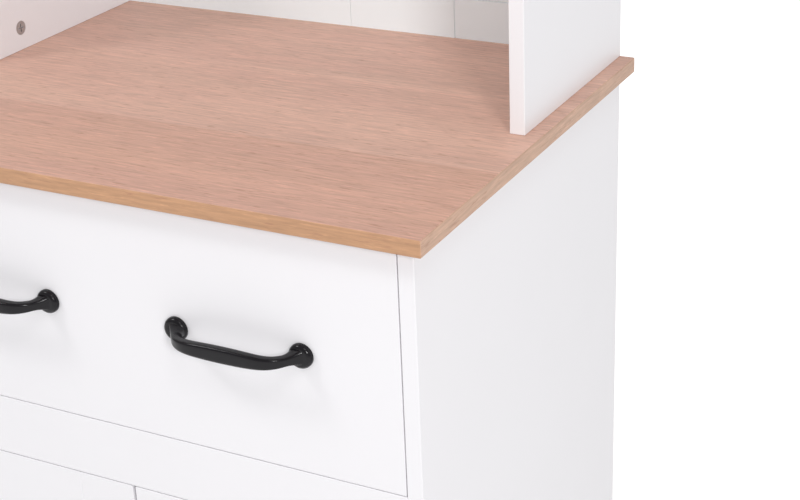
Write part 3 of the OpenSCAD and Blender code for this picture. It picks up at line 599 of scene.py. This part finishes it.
# ---- Drawer slides ----
# Each slide is two channels of rolled, zinc-plated steel with steel balls between them
# in a pressed cage. Screws through the webs hold them to cabinet side and drawer side.
for side in ("left", "right"):
    parts = ("slide_cabinet_" + side, "slide_drawer_" + side, "slide_cage_" + side)
    cover(parts, plated_steel)
turned_like("slide_cross_screws", "slide_drawer_screws", "drawer", recess=True)

# ---- Drawer ----
# The front is a white slab with eased edges. The box behind it is thinner white board
# on cams and screws. Its bottom lies in grooves and is hardboard, printed on top only.
FRONT_EASE = 0.0007

eased_board("drawer_front", "drawer", white_board, ease=FRONT_EASE)
for board in ("drawer_side_left", "drawer_side_right", "drawer_back"):
    eased_board(board, "drawer", white_board)
turned_like("drawer_cross_screws", "drawer_back_screws", "drawer", recess=True)

tray = hardboard("white tray print", WHITE, 0.97, "Z", "LESS_THAN")
cover(("drawer_bottom",), tray)

# ---- Handles ----
# Arched bars of cast zinc with a satin black coat, each on two round feet. A screw
# from behind the front goes into each foot.
SCREW_X, ARCH_X = 0.064, 0.062
REACH = 0.032
BAR_T, BAR_H = 0.010, 0.0145
BAR_END_SHARE = 0.5
NECK_LENGTH, NECK_EXTRA_T, NECK_EXTRA_H = 0.0134, 0.0068, 0.0082
FOOT_R, FOOT_T, FOOT_EASE = 0.01175, 0.0063, 0.0006
RIM_SHARE, RIM_STEPS = 0.7, 8
SIDE_POWER, TOP_POWER = 6.5, 1.05
FRONT_SQUARE, BACK_SQUARE = 0.44, 0.75
ARCH_STEPS, RING_STEPS, FOOT_STEPS = 96, 48, 64

coat, tree, shader = finish("satin black coat", Roughness=0.18, Specular_IOR_Level=0.25)
peel = noise(tree, place_on(tree), scale=260.0, detail=3.0)
coat_dark, coat_light = (0.0038, 0.0030, 0.0046), (0.0062, 0.0050, 0.0072)
speckle(tree, shader, peel, coat_dark, coat_light, relief=0.08)


def bar_ring(share):
    """One cross-section of the bar, from a foot at -1 over the middle to a foot at 1."""
    top = REACH - BAR_T / 2
    rise = top * max(0.0, 1 - abs(share) ** SIDE_POWER) ** (1 / TOP_POWER)
    rise = max(FOOT_T / 2, rise)
    out_x = SIDE_POWER * math.copysign(abs(share) ** (SIDE_POWER - 1), share) / ARCH_X
    out_y = TOP_POWER * (rise / top) ** (TOP_POWER - 1) / top
    out = Vector((out_x, -out_y, 0)).normalized()
    flare = max(0.0, 1 - (rise - FOOT_T / 2) / NECK_LENGTH) ** 2
    slimness = BAR_END_SHARE + (1 - BAR_END_SHARE) * (1 - share * share)
    half_t = (BAR_T + NECK_EXTRA_T * flare) / 2
    half_h = (BAR_H * slimness + NECK_EXTRA_H * flare) / 2
    centre = Vector((ARCH_X * share, -rise, 0))
    ring = []
    for i in range(RING_STEPS):
        turn = 2 * math.pi * i / RING_STEPS
        c, s = math.cos(turn), math.sin(turn)
        square = FRONT_SQUARE if c > 0 else BACK_SQUARE
        c, s = math.copysign(abs(c) ** square, c), math.copysign(abs(s) ** square, s)
        ring.append(centre + out * (half_t * c) + Vector((0, 0, half_h * s)))
    return ring


def foot_rings(x):
    """A round button with a rounded rim."""
    rim = FOOT_T * RIM_SHARE
    outline = [(0.0, FOOT_R - FOOT_EASE), (FOOT_EASE, FOOT_R)]
    for i in range(RIM_STEPS + 1):
        turn = math.pi / 2 * i / RIM_STEPS
        outline.append(
            (FOOT_T - rim + rim * math.sin(turn), FOOT_R - rim + rim * math.cos(turn))
        )
    to_front = Matrix.Translation((x, 0, 0)) @ Matrix.Rotation(math.pi / 2, 4, "X")
    return [
        [to_front @ point for point in circle(radius, height, FOOT_STEPS)]
        for height, radius in outline
    ]


def bow_handle(name, node, body, turn):
    """A handle in the place of its node, along X or turned upright."""
    mesh = bmesh.new()
    shares = [math.sin(math.pi * (i / ARCH_STEPS - 0.5)) for i in range(ARCH_STEPS + 1)]
    close_tube(mesh, [bar_ring(share) for share in shares])
    for side in (-1, 1):
        close_tube(mesh, foot_rings(side * SCREW_X))
    low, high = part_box(node)
    middle = (low + high) / 2
    place = Matrix.Translation((middle.x, high.y, middle.z)) @ Matrix.Rotation(turn, 4, "Y")
    bmesh.ops.transform(mesh, matrix=place, verts=mesh.verts)
    new_piece(name, mesh, coat, body, node)


for side in ("left", "right"):
    bow_handle("drawer_bow_" + side, "drawer_handle_" + side, "drawer", turn=0.0)
turned_like("drawer_handle_cross_screws", "drawer_handle_screws", "drawer", recess=True)

# ---- Doors ----
# Each door is a frame of two stiles and two rails, foiled white, with tongues in
# grooves and a thin panel set back in them. A steel strike near its top meets a catch.
for side in ("left", "right"):
    door = "door_" + side
    for part in ("_stiles", "_rails", "_panel"):
        eased_board(door + part, door, white_board)
    bow_handle(door + "_bow", door + "_handle", door, turn=math.pi / 2)
    turned_like(door + "_cross_screws", door + "_screws", door, recess=True)
    cover((door + "_strike",), plated_steel)

# ---- Hinges ----
# Butt hinges of pressed steel with a black coat: a leaf on the cabinet side, a leaf on
# the door's edge, and a pin through their knuckles. The barrel stands before the gap.
cover(("hinge_cabinet_leaves", "hinge_pins"), coat)
cover(("door_left_hinge_leaves", "door_right_hinge_leaves"), coat)

# ---- Catches ----
# Two white plastic blocks with a magnet inside, under the rail that the doors meet. Each
# pulls at the steel strike behind its door.
eased_board("magnetic_catches", "cabinet", white_plastic)

# ---- Wall bracket ----
# A bent strip of plated steel against tipping. Two screws hold its foot on the hutch's
# top, and its leg has two holes for screws into the wall.
BRACKET_EASE = 0.0003

eased_board("wall_bracket", "cabinet", plated_steel, BRACKET_EASE)

# ---- Floor, lamps and world ----
# A pale seamless floor under soft, even studio light. The floor and the world are white
# to the camera, and the floor keeps the stand's shadow.
FLOOR_REACH = 14
FLOOR_GLOW = 0.6
AMBIENT = 0.63

floor_mesh = bmesh.new()
bmesh.ops.create_grid(floor_mesh, x_segments=1, y_segments=1, size=FLOOR_REACH)
floor_data = bpy.data.meshes.new("floor")
floor_mesh.to_mesh(floor_data)
floor_mesh.free()
floor = bpy.data.objects.new("floor", floor_data)
bpy.context.scene.collection.objects.link(floor)


def seen_by(tree, *kinds):
    """1 for rays of the named kinds, 0 for all others."""
    rays = [step(tree, "LightPath", out=f"Is {kind} Ray") for kind in kinds]
    return sum_of(tree, "MAXIMUM", *rays)


pale, tree, shader = finish(
    "pale floor",
    Roughness=0.9,
    Base_Color=(0.85, 0.85, 0.85, 1),
    Emission_Color=(1, 1, 1, 1),
)
glow = sum_of(tree, "MULTIPLY", seen_by(tree, "Camera", "Glossy"), FLOOR_GLOW)
tree.links.new(glow, shader.inputs["Emission Strength"])
floor_data.materials.append(pale)

world = bpy.data.worlds.new("studio")
bpy.context.scene.world = world
world.use_nodes = True
air = world.node_tree
background = air.nodes["Background"]
background.inputs["Color"].default_value = (1, 1, 1, 1)
seen = seen_by(air, "Camera", "Transmission")
brightness = remap(air, seen, 0.0, 1.0, at_start=AMBIENT, at_end=1.0)
air.links.new(brightness, background.inputs["Strength"])


def soft_lamp(name, place, aim, size, power):
    """A square soft box that looks at a point."""
    data = bpy.data.lights.new(name, "AREA")
    data.shape = "SQUARE"
    data.size = size
    data.energy = power
    lamp = bpy.data.objects.new(name, data)
    lamp.location = place
    lamp.rotation_euler = (Vector(aim) - Vector(place)).to_track_quat("-Z", "Y").to_euler()
    bpy.context.scene.collection.objects.link(lamp)


soft_lamp("low soft box", (2.2, -2.3, 2.0), (0.1, 0.0, 0.85), size=0.5, power=38)
soft_lamp("high soft box", (1.3, -1.5, 3.1), (0.1, 0.0, 0.85), size=0.7, power=8)
soft_lamp("small lamp", (-1.45, -1.25, 2.7), (0.1, -0.2, 0.7), size=0.5, power=14)

bpy.context.scene.view_settings.view_transform = "Standard"
